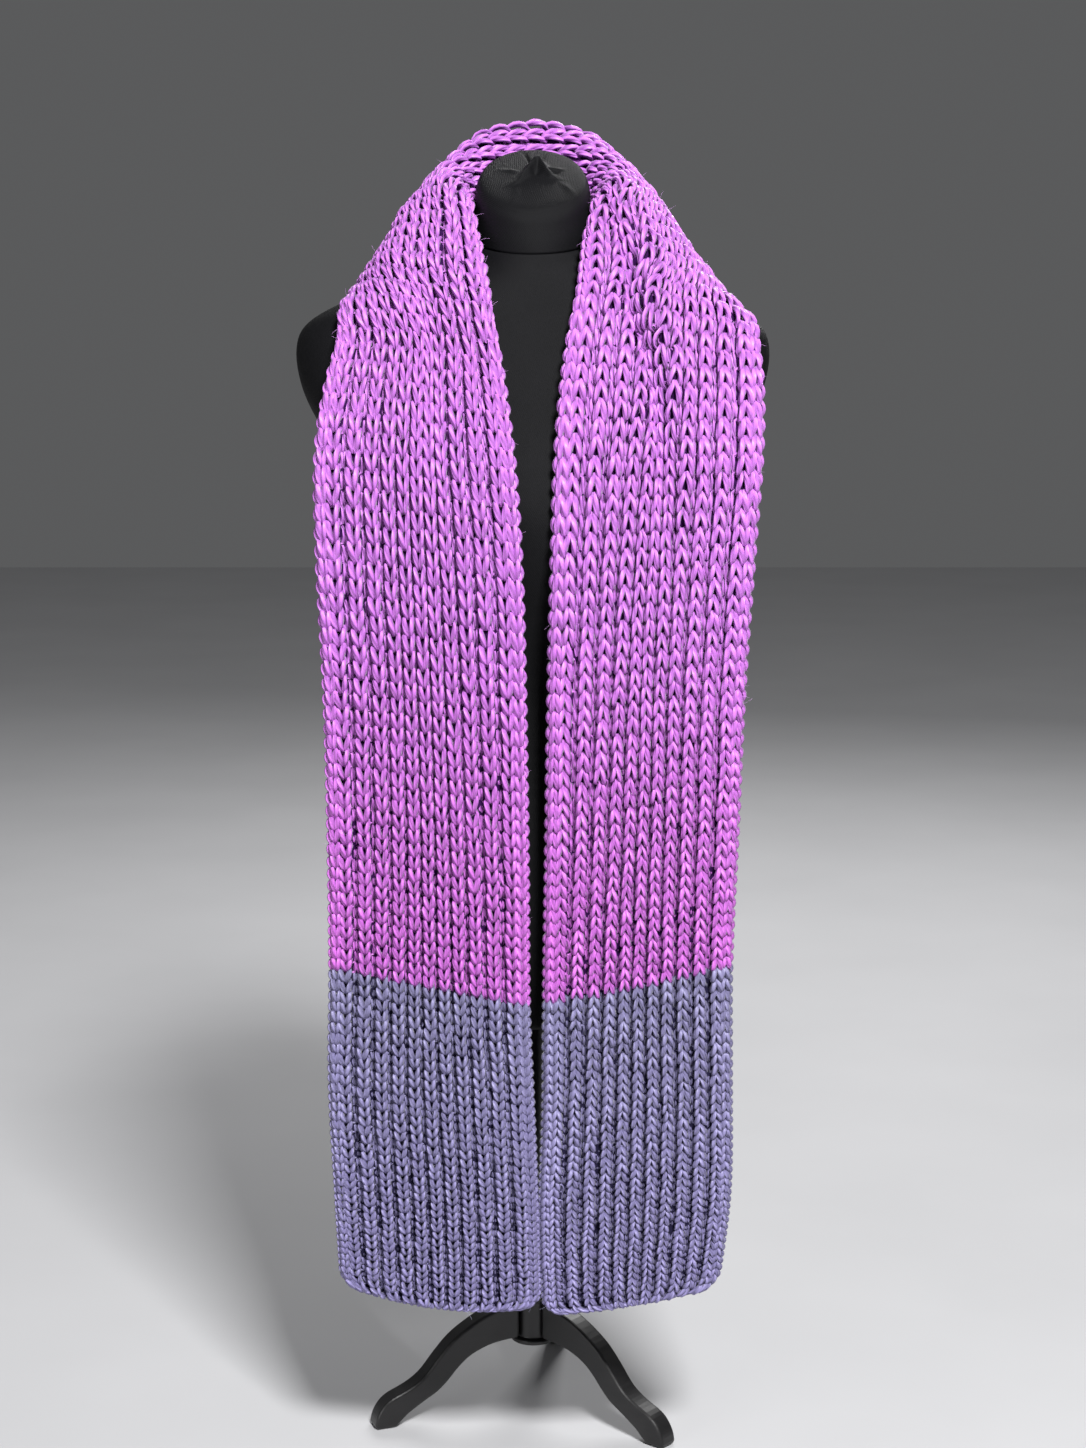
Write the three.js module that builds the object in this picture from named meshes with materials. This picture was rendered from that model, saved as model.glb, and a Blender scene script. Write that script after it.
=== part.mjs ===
// A chunky ribbed scarf in purple with slate ends, hung round the neck of a limbless dress form
// on a turned hub with three S-curved legs. Millimetres, +Z up, the front faces -Y.
// While the pieces are worked out the pole's axis is x = y = 0 and the floor is z = 0.
import * as THREE from 'three';

// Scarf: driving dimensions
const RIBS = 12;                 // knit ribs that show across the scarf
const POINTS_PER_RIB = 3;        // groove, crest start, crest end
const FABRIC_HALF = 2.6;         // half thickness of the fabric at a groove
const RIB_HEIGHT = 2.6;          // a rib stands this far above the groove, on both faces
const SELVEDGE_HALF = 2.2;       // half thickness at the side edges
const HEM_CORNER = 15;           // radius of the rounded hem corners
const SEAM_GAP = 0.3;            // clear space between two pieces that meet
const NECK_STATION = 7;          // stations from the nape to the front of the shoulder
const JOIN_STATION = 13;         // stations from the nape to the change of colour

// Dress form and stand: driving dimensions
const FORM_SIDES = 36;
const TORSO_RINGS = 27;
const POLE_RADIUS = 12.5;
const HUB_SIDES = 24;
const HUB_TOP = 110.5;
const HUB_RADIUS = 17;
const LEG_THICKNESS = 20;
const LEG_CURVE_STEPS = 3;
const FIRST_LEG_ANGLE = 201;     // degrees from +X, the other two follow at 120 degree steps
const KNOT_TILT = 30.5;          // degrees that the neck's top leans to the front

// The scarf's middle surface: one row for each cross-section, from the nape down to a hem.
// The columns give the inner edge, the middle and the outer edge, and how round the section is
// (0 a flat bow, 1 an arch). x is the distance from the axis, to the left in the left table.
const SECTION_COLUMNS = ['inX', 'inY', 'inZ', 'midX', 'midY', 'midZ', 'outX', 'outY', 'outZ', 'round'];
const NAPE = [0, 61, 1085, 0, 90, 1178, 0, 118, 1116, 1];
const LEFT_SECTIONS = [
  /* nape side        */ [-36, 52, 1088, -43, 82, 1170, -44, 113, 1109, 0.95],
  /* neck back corner */ [-56, 24, 1098, -74, 60, 1146, -84, 97, 1087, 0.8],
  /* neck side        */ [-57, -8, 1109, -95, 24, 1121, -106, 78, 1070, 0.9],
  /* shoulder ridge   */ [-50, -40, 1079, -103, -12, 1095, -122, 56, 1052, 0.9],
  /* shoulder top     */ [-43, -65, 1048, -111, -50, 1058, -142, 22, 1043.6, 0.8],
  /* shoulder front   */ [-36, -82, 1015, -107, -81, 1022, -162, -47, 1020.3, 0.5],
  /* collarbone       */ [-29, -95, 980, -100, -91, 991, -165, -76, 993, 0.1],
  /* upper chest      */ [-23, -109, 937, -99, -108, 948, -174, -97, 955, 0],
  /* bust top         */ [-17, -124, 880, -99, -124, 890, -181, -116, 898, 0],
  /* bust             */ [-12, -131, 796, -97, -133, 807, -180, -127, 814, 0],
  /* midriff          */ [-9, -134, 678, -92, -137, 691, -175, -133, 700, 0],
  /* waist            */ [-7, -134, 549, -90, -137, 565, -173, -134, 579, 0],
  /* colour join      */ [-6, -134, 423, -89, -137, 439, -173, -134, 456, 0],
  /* slate upper      */ [-2, -134, 326, -88, -137, 340, -175, -134, 356, 0],
  /* slate lower      */ [2, -134, 229, -85, -137, 240, -171, -134, 255, 0],
  /* hem              */ [4, -134, 148, -82, -137, 148, -167, -134, 169, 0],
];
const RIGHT_SECTIONS = [
  /* nape side        */ [36, 52, 1088, 43, 82, 1171, 44, 113, 1109, 0.95],
  /* neck back corner */ [56, 24, 1098, 76, 60, 1148, 86, 97, 1088, 0.8],
  /* neck side        */ [57, -8, 1109, 100, 24, 1120, 112, 80, 1070, 0.95],
  /* shoulder ridge   */ [49, -40, 1081, 109, -12, 1096, 126, 58, 1051, 0.9],
  /* shoulder top     */ [44, -65, 1053, 118, -48, 1057, 152, 28, 1041.5, 0.75],
  /* shoulder front   */ [38, -81, 1022, 113, -80, 1022, 187, -52, 1009.4, 0.4],
  /* collarbone       */ [32, -94, 991, 112, -93, 991, 191, -77, 986, 0.1],
  /* upper chest      */ [27, -107, 952, 110, -109, 948, 193, -97, 948, 0],
  /* bust top         */ [22, -123, 890, 106, -124, 890, 191, -116, 892, 0],
  /* bust             */ [19, -131, 801, 102, -133, 807, 185, -127, 811, 0],
  /* midriff          */ [16, -134, 682, 97, -137, 691, 178, -133, 700, 0],
  /* waist            */ [14, -134, 552, 94, -137, 565, 174, -134, 580, 0],
  /* colour join      */ [12, -134, 427, 91, -137, 441, 170, -134, 460, 0],
  /* slate upper      */ [11, -134, 328, 91, -137, 340, 171, -134, 356, 0],
  /* slate lower      */ [8, -134, 228, 89, -137, 240, 171, -134, 255, 0],
  /* hem              */ [11, -134, 142, 86, -137, 151, 162, -134, 168, 0],
];
const NAPE_INDEX = LEFT_SECTIONS.length;
const SECTIONS = [...LEFT_SECTIONS.slice().reverse(), NAPE, ...RIGHT_SECTIONS];
const LAST_STATION = SECTIONS.length - 1;

// Folds: side (-1 left, 1 right), the stations from the nape where one starts and ends, how far
// across the scarf it lies there (0 inner edge, 1 outer edge), its height and its width as a part
// of the scarf's width. An overlap is a ridge beside a valley, slid over it; a trough is a valley.
const OVERLAPS = [
  { side: 1, start: 2.4, end: 8.8, across: 0.28, acrossEnd: 0.69, height: 10, width: 0.12, slide: 4 },
  { side: -1, start: 2.8, end: 7.0, across: 0.46, acrossEnd: 0.52, height: 4, width: 0.13, slide: 0 },
];
const VALLEY_DEPTH = 0.8;        // an overlap's valley as a part of its ridge's height
const TROUGHS = [
  { side: -1, start: 4.5, end: 11, across: 0.44, acrossEnd: 0.37, height: 5, width: 0.09 },
  { side: 1, start: 6.5, end: 11.5, across: 0.53, acrossEnd: 0.47, height: 5, width: 0.09 },
];

const PURPLE = { color: 0xb877dd, roughness: 0.7, metalness: 0 };
const SLATE = { color: 0x77759c, roughness: 0.7, metalness: 0 };
const BLACK_COVER = { color: 0x1b1b1e, roughness: 0.85, metalness: 0 };
const BLACK_WOOD = { color: 0x141416, roughness: 0.35, metalness: 0 };

// The scarf's stretches, from the left hem to the right one, with the rows' spacing in mm.
const STRETCHES = [
  { name: 'scarf_left_slate', from: 0, to: NAPE_INDEX - JOIN_STATION, step: 45, look: SLATE },
  { name: 'scarf_left_purple', from: NAPE_INDEX - JOIN_STATION, to: NAPE_INDEX - NECK_STATION,
    step: 34, look: PURPLE },
  { name: 'scarf_neck', from: NAPE_INDEX - NECK_STATION, to: NAPE_INDEX + NECK_STATION,
    step: 17, look: PURPLE },
  { name: 'scarf_right_purple', from: NAPE_INDEX + NECK_STATION, to: NAPE_INDEX + JOIN_STATION,
    step: 34, look: PURPLE },
  { name: 'scarf_right_slate', from: NAPE_INDEX + JOIN_STATION, to: LAST_STATION, step: 45, look: SLATE },
];
// Rows close to a hem: the distance from the hem, and the part of the full thickness left there.
const HEM_ROWS = [
  { distance: 0, thickness: 0.6 },
  { distance: 2.5, thickness: 0.9 },
  { distance: 7, thickness: 1 },
  { distance: 15, thickness: 1 },
];

// Torso: one row for each level, with its half width, its depth to the front and to the back,
// the power of its rounded-oval outline and how fast the level rises towards the back.
const TORSO_COLUMNS = ['z', 'halfWidth', 'front', 'back', 'power', 'rise'];
const TORSO_LEVELS = [
  /* underside     */ [387, 140, 86, 97, 2.3, 0],
  /* lower edge    */ [396, 151, 94, 107, 2.3, 0],
  /* lower hip     */ [430, 164, 102, 117, 2.3, 0],
  /* hip           */ [480, 169, 106, 123, 2.25, 0],
  /* high hip      */ [560, 160, 104, 112, 2.2, 0],
  /* below waist   */ [630, 134, 96, 92, 2.2, 0],
  /* waist         */ [690, 122, 92, 82, 2.2, 0],
  /* midriff       */ [750, 130, 102, 84, 2.2, 0],
  /* under bust    */ [800, 141, 114, 90, 2.25, 0],
  /* bust          */ [845, 150, 120, 95, 2.35, 0],
  /* underarm      */ [880, 163, 114, 99, 2.5, 0],
  /* arm cap foot  */ [915, 186, 102, 99, 2.7, 0],
  /* arm cap low   */ [950, 203, 91, 97, 2.9, 0],
  /* arm cap       */ [985, 208, 80, 92, 3, 0],
  /* shoulder end  */ [1008, 197, 72, 84, 2.8, 0],
  /* shoulder      */ [1028, 160, 65, 75, 2.4, 0.02],
  /* neck slope    */ [1046, 108, 59, 67, 2.15, 0.06],
  /* neck base     */ [1062, 68, 54, 59, 2, 0.14],
  /* neck seam     */ [1078, 52, 51, 53, 2, 0.23],
];
// Neck cap: a rounded block whose top leans to the front, from the seam to near the top's centre.
const CAP_LEVELS = [
  /* seam      */ [1078.3, 51.2, 50.6, 51.4, 2, 0.23],
  /* side      */ [1092, 51.8, 51, 51, 2, 0.3],
  /* upper     */ [1110, 50.9, 50.6, 50.6, 2, 0.45],
  /* rim start */ [1122, 49.8, 50, 50, 2, 0.55],
  /* rim       */ [1128.2, 47.6, 47.8, 47.8, 2, 0.59],
  /* rim top   */ [1132, 43.6, 44, 44, 2, 0.59],
  /* top       */ [1134.2, 31, 32, 32, 2, 0.59],
  /* crown     */ [1135.6, 14.5, 15.5, 15.5, 2, 0.59],
];
const CAP_PEAK = 1136;

// Leg outline in its own upright plane: distance from the pole's axis and height above the floor.
const LEG_TOP = [
  [17.3, 104], [34, 101], [51, 95.5], [68, 86.5], [83, 76], [96, 62.5],
  [109, 47], [118, 39.5], [129, 33.5], [143, 27.5], [151, 21], [156.5, 12], [158.5, 4],
];
const LEG_FOOT = [[158, 0], [139, 0]];
const LEG_UNDER = [
  [134, 4.5], [126, 11.5], [110, 21.5], [98, 28.5], [88, 37.5], [77, 49.5],
  [65, 59], [48, 66], [32, 68.8], [17.3, 69.5],
];
// Turned outlines: radius and height.
const HUB_PROFILE = [
  [0, 63], [18.5, 63], [21.3, 65], [21.3, 67.4], [20, 68.6], [HUB_RADIUS, 69.2],
  [HUB_RADIUS, 104], [18.6, 105.5], [18.6, 109], [16.5, HUB_TOP], [0, HUB_TOP],
];
const KNOT_PROFILE = [[0, 0], [9, 0], [8.6, 1.8], [6, 4], [3.6, 6.6], [1.8, 7.8], [0, 8]];

// A row of numbers between two rows of a table, on a smooth cubic through all of them.
function rowBetween(table, position) {
  const index = Math.min(Math.max(Math.floor(position), 0), table.length - 2);
  const t = position - index;
  const p1 = table[index];
  const p2 = table[index + 1];
  const p0 = table[index - 1] ?? p1.map((value, k) => 2 * value - p2[k]);
  const p3 = table[index + 2] ?? p2.map((value, k) => 2 * value - p1[k]);
  return p1.map((value, k) => 0.5 * (
    2 * value + (p2[k] - p0[k]) * t
    + (2 * p0[k] - 5 * value + 4 * p2[k] - p3[k]) * t * t
    + (3 * value - p0[k] - 3 * p2[k] + p3[k]) * t * t * t));
}

function named(columns, row) {
  return Object.fromEntries(columns.map((column, k) => [column, row[k]]));
}

function smoothStep(value) {
  const t = Math.min(Math.max(value, 0), 1);
  return t * t * (3 - 2 * t);
}

// A point of the scarf's middle surface before its folds. across runs from 0 to 1.
function plainPoint(station, across) {
  const row = named(SECTION_COLUMNS, rowBetween(SECTIONS, station));
  const arch = (1 - Math.cos(Math.PI * across)) / 2;
  const bow = 4 * across * (1 - across);
  const along = across + row.round * (arch - across);
  const lift = bow + row.round * (Math.sin(Math.PI * across) - bow);
  const inner = new THREE.Vector3(row.inX, row.inY, row.inZ);
  const middle = new THREE.Vector3(row.midX, row.midY, row.midZ);
  const outer = new THREE.Vector3(row.outX, row.outY, row.outZ);
  const chord = outer.clone().sub(inner);
  const crown = middle.sub(inner.clone().add(outer).multiplyScalar(0.5));
  return inner.addScaledVector(chord, along).addScaledVector(crown, lift);
}

// How strongly a fold shows at a station, and where it lies across the scarf there.
function foldAt(fold, station, ramp) {
  const fromNape = Math.abs(station - NAPE_INDEX);
  const part = (fromNape - fold.start) / (fold.end - fold.start);
  const onSide = (station - NAPE_INDEX) * fold.side > 0;
  const strength = onSide ? smoothStep(part / ramp[0]) * smoothStep((1 - part) / ramp[1]) : 0;
  const place = fold.across + (fold.acrossEnd - fold.across) * Math.min(Math.max(part, 0), 1);
  return { strength, place };
}

function bell(value) {
  return Math.exp(-value * value);
}

// A point of the middle surface with its folds.
function foldedPoint(station, across) {
  const step = 1e-3;
  const point = plainPoint(station, across);
  const acrossWay = plainPoint(station, across + step).sub(plainPoint(station, across - step)).normalize();
  const downWay = plainPoint(station + step, across).sub(plainPoint(station - step, across));
  const outward = new THREE.Vector3().crossVectors(downWay, acrossWay).normalize();
  for (const fold of OVERLAPS) {
    const { strength, place } = foldAt(fold, station, [0.22, 0.5]);
    const q = (across - place) / fold.width;
    const rise = bell((q - 0.7) / 0.8) - VALLEY_DEPTH * bell((q + 0.7) / 0.7);
    point.addScaledVector(outward, strength * fold.height * rise);
    point.addScaledVector(acrossWay, -strength * fold.slide * bell((q - 0.5) / 0.8));
  }
  for (const fold of TROUGHS) {
    const { strength, place } = foldAt(fold, station, [0.4, 0.4]);
    point.addScaledVector(outward, -strength * fold.height * bell((across - place) / fold.width));
  }
  return point;
}

// The points of one cross row, evenly spaced along the fabric, drawn in by inset at both edges.
function evenRow(station, inset) {
  const samples = 72;
  const dense = [];
  const lengths = [0];
  for (let k = 0; k <= samples; k += 1) {
    dense.push(foldedPoint(station, k / samples));
    if (k > 0) {
      lengths.push(lengths[k - 1] + dense[k].distanceTo(dense[k - 1]));
    }
  }
  const columns = RIBS * POINTS_PER_RIB;
  const width = lengths[samples] - 2 * inset;
  const row = [];
  let k = 0;
  for (let column = 0; column <= columns; column += 1) {
    const wanted = inset + width * column / columns;
    while (k < samples - 1 && lengths[k + 1] < wanted) {
      k += 1;
    }
    row.push(dense[k].clone().lerp(dense[k + 1], (wanted - lengths[k]) / (lengths[k + 1] - lengths[k])));
  }
  return row;
}

// The lift of a face above the middle surface at a column: ribs on the front face stand between
// the grooves, and on the back face behind them, as in a rib knitted one by one.
function lifts(column, thickness) {
  const columns = RIBS * POINTS_PER_RIB;
  if (column === 0 || column === columns) {
    return { front: SELVEDGE_HALF * thickness, back: SELVEDGE_HALF * thickness };
  }
  const groove = column % POINTS_PER_RIB === 0;
  return {
    front: (FABRIC_HALF + (groove ? 0 : RIB_HEIGHT)) * thickness,
    back: (FABRIC_HALF + (groove ? RIB_HEIGHT : 0)) * thickness,
  };
}

// Both faces of one row. shift moves it along the scarf, towards the right hem.
function wallRow({ station, inset = 0, shift = 0, thickness = 1 }) {
  const step = 0.01;
  const points = evenRow(station, inset);
  const before = evenRow(Math.max(station - step, 0), inset);
  const after = evenRow(Math.min(station + step, LAST_STATION), inset);
  const last = points.length - 1;
  const front = [];
  const back = [];
  points.forEach((point, column) => {
    const downWay = after[column].clone().sub(before[column]).normalize();
    const left = points[Math.max(column - 1, 0)];
    const right = points[Math.min(column + 1, last)];
    const outward = downWay.clone().cross(right.clone().sub(left)).normalize();
    const lift = lifts(column, thickness);
    const place = point.clone().addScaledVector(downWay, shift);
    front.push(place.clone().addScaledVector(outward, lift.front));
    back.push(place.clone().addScaledVector(outward, -lift.back));
  });
  return { front, back };
}

// Distances along the middle of the scarf, to space its rows in millimetres.
const STATION_STEPS = 1600;
const middleLengths = [0];
for (let k = 1; k <= STATION_STEPS; k += 1) {
  const here = plainPoint(LAST_STATION * k / STATION_STEPS, 0.5);
  const there = plainPoint(LAST_STATION * (k - 1) / STATION_STEPS, 0.5);
  middleLengths.push(middleLengths[k - 1] + here.distanceTo(there));
}

function lengthAt(station) {
  const place = station / LAST_STATION * STATION_STEPS;
  const k = Math.min(Math.floor(place), STATION_STEPS - 1);
  return middleLengths[k] + (middleLengths[k + 1] - middleLengths[k]) * (place - k);
}

function stationAt(length) {
  let k = 0;
  while (k < STATION_STEPS - 1 && middleLengths[k + 1] < length) {
    k += 1;
  }
  const part = (length - middleLengths[k]) / (middleLengths[k + 1] - middleLengths[k]);
  return (k + part) / STATION_STEPS * LAST_STATION;
}

// The rows of a stretch: close together round a hem's corners, evenly spaced elsewhere.
function stretchRows({ from, to, step }) {
  const start = lengthAt(from);
  const end = lengthAt(to);
  const hemRows = HEM_ROWS.map(({ distance, thickness }) => ({
    distance,
    thickness,
    inset: HEM_CORNER - Math.sqrt(HEM_CORNER ** 2 - (HEM_CORNER - distance) ** 2),
  }));
  const leftHem = from === 0 ? hemRows : [];
  const rightHem = to === LAST_STATION ? hemRows.slice().reverse() : [];
  const hemDepth = HEM_ROWS[HEM_ROWS.length - 1].distance;
  const plainStart = start + (leftHem.length ? hemDepth : 0);
  const plainEnd = end - (rightHem.length ? hemDepth : 0);
  const count = Math.round((plainEnd - plainStart) / step);
  const rows = leftHem.map((row) => ({ ...row, station: stationAt(row.distance) }));
  for (let k = leftHem.length ? 1 : 0; k <= (rightHem.length ? count - 1 : count); k += 1) {
    const length = plainStart + (plainEnd - plainStart) * k / count;
    rows.push({ station: k === 0 ? from : k === count ? to : stationAt(length) });
  }
  rows.push(...rightHem.map((row) => ({ ...row, station: stationAt(end - row.distance) })));
  if (!leftHem.length) {
    rows[0].shift = SEAM_GAP / 2;
  }
  if (!rightHem.length) {
    rows[rows.length - 1].shift = -SEAM_GAP / 2;
  }
  return rows;
}

// A closed body from rings of equal size. Each ring is joined to the next, and the two ends are
// closed by the faces that endFaces lists for a ring's first index.
function bodyFromRings(rings, endFaces) {
  const size = rings[0].length;
  const positions = rings.flat().flatMap((point) => point.toArray());
  const faces = [];
  for (let r = 0; r < rings.length - 1; r += 1) {
    for (let k = 0; k < size; k += 1) {
      const a = r * size + k;
      const b = r * size + (k + 1) % size;
      faces.push(a, b, b + size, a, b + size, a + size);
    }
  }
  const lastStart = (rings.length - 1) * size;
  for (const [a, b, c] of endFaces) {
    faces.push(a, c, b);
    faces.push(a + lastStart, b + lastStart, c + lastStart);
  }
  const geometry = new THREE.BufferGeometry();
  geometry.setAttribute('position', new THREE.Float32BufferAttribute(positions, 3));
  geometry.setIndex(faces);
  return geometry;
}

// A stretch of the scarf as a closed wall: a ring runs over the back face and returns on the front.
function scarfGeometry(stretch) {
  const rings = stretchRows(stretch).map((row) => {
    const { front, back } = wallRow(row);
    return [...back, ...front.reverse()];
  });
  const columns = RIBS * POINTS_PER_RIB;
  const behind = (column) => 2 * columns + 1 - column;
  const ends = [];
  for (let column = 0; column < columns; column += 1) {
    ends.push([column, column + 1, behind(column + 1)]);
    ends.push([column, behind(column + 1), behind(column)]);
  }
  return bodyFromRings(rings, ends);
}

// A level ring: a rounded oval whose front and back depths differ, tipped up towards the back.
function ovalRing(level) {
  const ring = [];
  for (let k = 0; k < FORM_SIDES; k += 1) {
    const angle = 2 * Math.PI * k / FORM_SIDES;
    const cos = Math.cos(angle);
    const sin = Math.sin(angle);
    const depth = sin < 0 ? level.front : level.back;
    const x = level.halfWidth * Math.sign(cos) * Math.abs(cos) ** (2 / level.power);
    const y = depth * Math.sign(sin) * Math.abs(sin) ** (2 / level.power);
    ring.push(new THREE.Vector3(x, y, level.z + level.rise * y));
  }
  return ring;
}

// A closed body of stacked rings with a fan of faces to a centre point at each end.
function stackedBody(levels, bottom, top) {
  const rings = levels.map((level) => ovalRing(level));
  const geometry = bodyFromRings(rings, []);
  const positions = [...geometry.attributes.position.array, 0, 0, bottom, 0, 0, top];
  const faces = [...geometry.index.array];
  const bottomIndex = rings.length * FORM_SIDES;
  for (let k = 0; k < FORM_SIDES; k += 1) {
    const next = (k + 1) % FORM_SIDES;
    const topStart = (rings.length - 1) * FORM_SIDES;
    faces.push(bottomIndex, next, k);
    faces.push(bottomIndex + 1, topStart + k, topStart + next);
  }
  const closed = new THREE.BufferGeometry();
  closed.setAttribute('position', new THREE.Float32BufferAttribute(positions, 3));
  closed.setIndex(faces);
  return closed;
}

function torsoGeometry() {
  const levels = [];
  for (let k = 0; k <= TORSO_RINGS; k += 1) {
    const row = rowBetween(TORSO_LEVELS, (TORSO_LEVELS.length - 1) * k / TORSO_RINGS);
    levels.push(named(TORSO_COLUMNS, row));
  }
  return stackedBody(levels, TORSO_LEVELS[0][0], TORSO_LEVELS[TORSO_LEVELS.length - 1][0]);
}

function capGeometry() {
  const levels = CAP_LEVELS.map((row) => named(TORSO_COLUMNS, row));
  return stackedBody(levels, CAP_LEVELS[0][0], CAP_PEAK);
}

// A turned piece. Its profile starts and ends on the axis.
function turned(profile, sides) {
  const points = profile.map(([radius, height]) => new THREE.Vector2(radius, height));
  return new THREE.LatheGeometry(points, sides).rotateX(Math.PI / 2);
}

function legGeometry() {
  const vectors = (points) => points.map(([x, y]) => new THREE.Vector2(x, y));
  const shape = new THREE.Shape();
  shape.moveTo(...LEG_TOP[0]);
  shape.splineThru(vectors(LEG_TOP.slice(1)));
  LEG_FOOT.forEach((point) => shape.lineTo(...point));
  shape.splineThru(vectors(LEG_UNDER));
  shape.closePath();
  const geometry = new THREE.ExtrudeGeometry(shape, {
    depth: LEG_THICKNESS,
    curveSegments: LEG_CURVE_STEPS,
    bevelEnabled: false,
  });
  return geometry.translate(0, 0, -LEG_THICKNESS / 2);
}

function mesh(name, geometry, look) {
  const piece = new THREE.Mesh(geometry, new THREE.MeshStandardMaterial(look));
  piece.name = name;
  return piece;
}

const model = new THREE.Group();

for (const stretch of STRETCHES) {
  model.add(mesh(stretch.name, scarfGeometry(stretch), stretch.look));
}

model.add(mesh('form_torso', torsoGeometry(), BLACK_COVER));
model.add(mesh('form_neck_cap', capGeometry(), BLACK_COVER));

const knot = mesh('form_cap_knot', turned(KNOT_PROFILE, 14), BLACK_COVER);
knot.rotation.x = THREE.MathUtils.degToRad(KNOT_TILT);
knot.position.z = CAP_PEAK + SEAM_GAP;
model.add(knot);

const poleLength = TORSO_LEVELS[0][0] - HUB_TOP - 2 * SEAM_GAP;
const pole = mesh('stand_pole', new THREE.CylinderGeometry(POLE_RADIUS, POLE_RADIUS, poleLength, HUB_SIDES), BLACK_WOOD);
pole.rotation.x = Math.PI / 2;
pole.position.z = HUB_TOP + SEAM_GAP + poleLength / 2;
model.add(pole);

model.add(mesh('stand_hub', turned(HUB_PROFILE, HUB_SIDES), BLACK_WOOD));

for (let k = 0; k < 3; k += 1) {
  const leg = mesh(`stand_leg_${k + 1}`, legGeometry(), BLACK_WOOD);
  leg.rotation.x = Math.PI / 2;
  const holder = new THREE.Group();
  holder.rotation.z = THREE.MathUtils.degToRad(FIRST_LEG_ANGLE + 120 * k);
  holder.add(leg);
  model.add(holder);
}

// The origin is the middle of the footprint, on the floor.
const part = new THREE.Group();
part.add(model);
part.updateMatrixWorld(true);
const box = new THREE.Box3().setFromObject(part, true);
model.position.set(-(box.min.x + box.max.x) / 2, -(box.min.y + box.max.y) / 2, -box.min.z);

export default part;
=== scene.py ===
"""A very chunky ribbed scarf, purple with slate ends, hung round the neck of a black dress form.

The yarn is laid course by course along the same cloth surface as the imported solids. Tables are in
millimetres with the pole's axis at x = y = 0 and the floor at z = 0; meshes are made in metres.
"""

import bpy
import numpy as np
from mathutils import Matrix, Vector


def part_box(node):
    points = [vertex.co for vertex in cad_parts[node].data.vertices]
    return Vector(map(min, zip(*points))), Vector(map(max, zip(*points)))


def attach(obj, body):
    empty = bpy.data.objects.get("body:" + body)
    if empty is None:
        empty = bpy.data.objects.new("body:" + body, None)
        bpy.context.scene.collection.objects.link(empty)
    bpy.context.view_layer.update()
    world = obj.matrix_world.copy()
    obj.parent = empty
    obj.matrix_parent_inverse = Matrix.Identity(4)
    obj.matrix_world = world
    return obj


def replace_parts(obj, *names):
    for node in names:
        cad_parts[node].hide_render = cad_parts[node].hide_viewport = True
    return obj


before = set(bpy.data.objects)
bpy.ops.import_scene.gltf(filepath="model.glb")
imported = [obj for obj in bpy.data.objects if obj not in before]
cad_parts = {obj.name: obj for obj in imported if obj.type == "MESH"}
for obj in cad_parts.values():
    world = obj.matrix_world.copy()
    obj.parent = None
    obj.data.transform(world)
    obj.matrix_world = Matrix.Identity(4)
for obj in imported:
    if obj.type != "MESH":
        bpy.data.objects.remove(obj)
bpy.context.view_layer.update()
low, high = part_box("stand_hub")
AXIS = np.array([(low[0] + high[0]) / 2, (low[1] + high[1]) / 2, 0.0])
MM = 0.001
TAU = 2 * np.pi

# Camera, light and floor

CAMERA_PLACE = (8.9, -2450.0, 1067.0)
CAMERA_PITCH_DOWN = 9.7
PHOTO_HEIGHT = 1448              # pixels
FOCAL_PIXELS = 2750
SENSOR_SIDE = 36                 # mm
WORLD_COLOUR = (0.93, 0.94, 0.96, 1)
WORLD_STRENGTH = 0.11
# Area lights: name, place, what each faces, its side in metres, watts.
LIGHTS = (
    ("key", (0.8, -2.7, 3.5), (0, 0, 0.65), 0.8, 300),
    ("fill", (-2.2, -2.4, 0.9), (0, 0, 0.6), 1.2, 18),
    ("back", (0.6, 2.4, 2.4), (0, 0, 0.8), 1.4, 60),
)
FLOOR_SIDE = 14
FLOOR_DROP = 0.0005              # metres under the feet


def set_camera():
    """A camera at the photograph's place, tipped down, whose tall side is SENSOR_SIDE."""
    data = bpy.data.cameras.new("camera")
    data.sensor_fit = "VERTICAL"
    data.sensor_height = SENSOR_SIDE
    data.sensor_width = SENSOR_SIDE
    data.lens = FOCAL_PIXELS / PHOTO_HEIGHT * SENSOR_SIDE
    data.clip_start = 0.05
    data.clip_end = 60
    camera = bpy.data.objects.new("camera", data)
    camera.location = AXIS + np.array(CAMERA_PLACE) * MM
    camera.rotation_euler = (np.radians(90 - CAMERA_PITCH_DOWN), 0, 0)
    bpy.context.scene.collection.objects.link(camera)
    bpy.context.scene.camera = camera


def add_area_light(name, place, aim, size, power):
    """A square soft white light at place that faces aim, both in metres."""
    data = bpy.data.lights.new(name, "AREA")
    data.shape = "SQUARE"
    data.size = size
    data.energy = power
    lamp = bpy.data.objects.new(name, data)
    way = np.array(aim, float) - np.array(place, float)
    heading = np.arctan2(way[1], way[0]) - np.pi / 2
    climb = np.arctan2(way[2], np.hypot(way[0], way[1]))
    lamp.location = place
    lamp.rotation_euler = (np.pi / 2 + climb, 0, heading)
    bpy.context.scene.collection.objects.link(lamp)


def set_studio():
    """Dim even surroundings, a key light from high in front, a wide fill and one from behind."""
    scene = bpy.context.scene
    scene.view_settings.view_transform = "Standard"
    world = bpy.data.worlds.new("studio")
    world.use_nodes = True
    backdrop = world.node_tree.nodes["Background"]
    backdrop.inputs["Color"].default_value = WORLD_COLOUR
    backdrop.inputs["Strength"].default_value = WORLD_STRENGTH
    scene.world = world
    for light in LIGHTS:
        add_area_light(*light)


# Material tools


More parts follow.
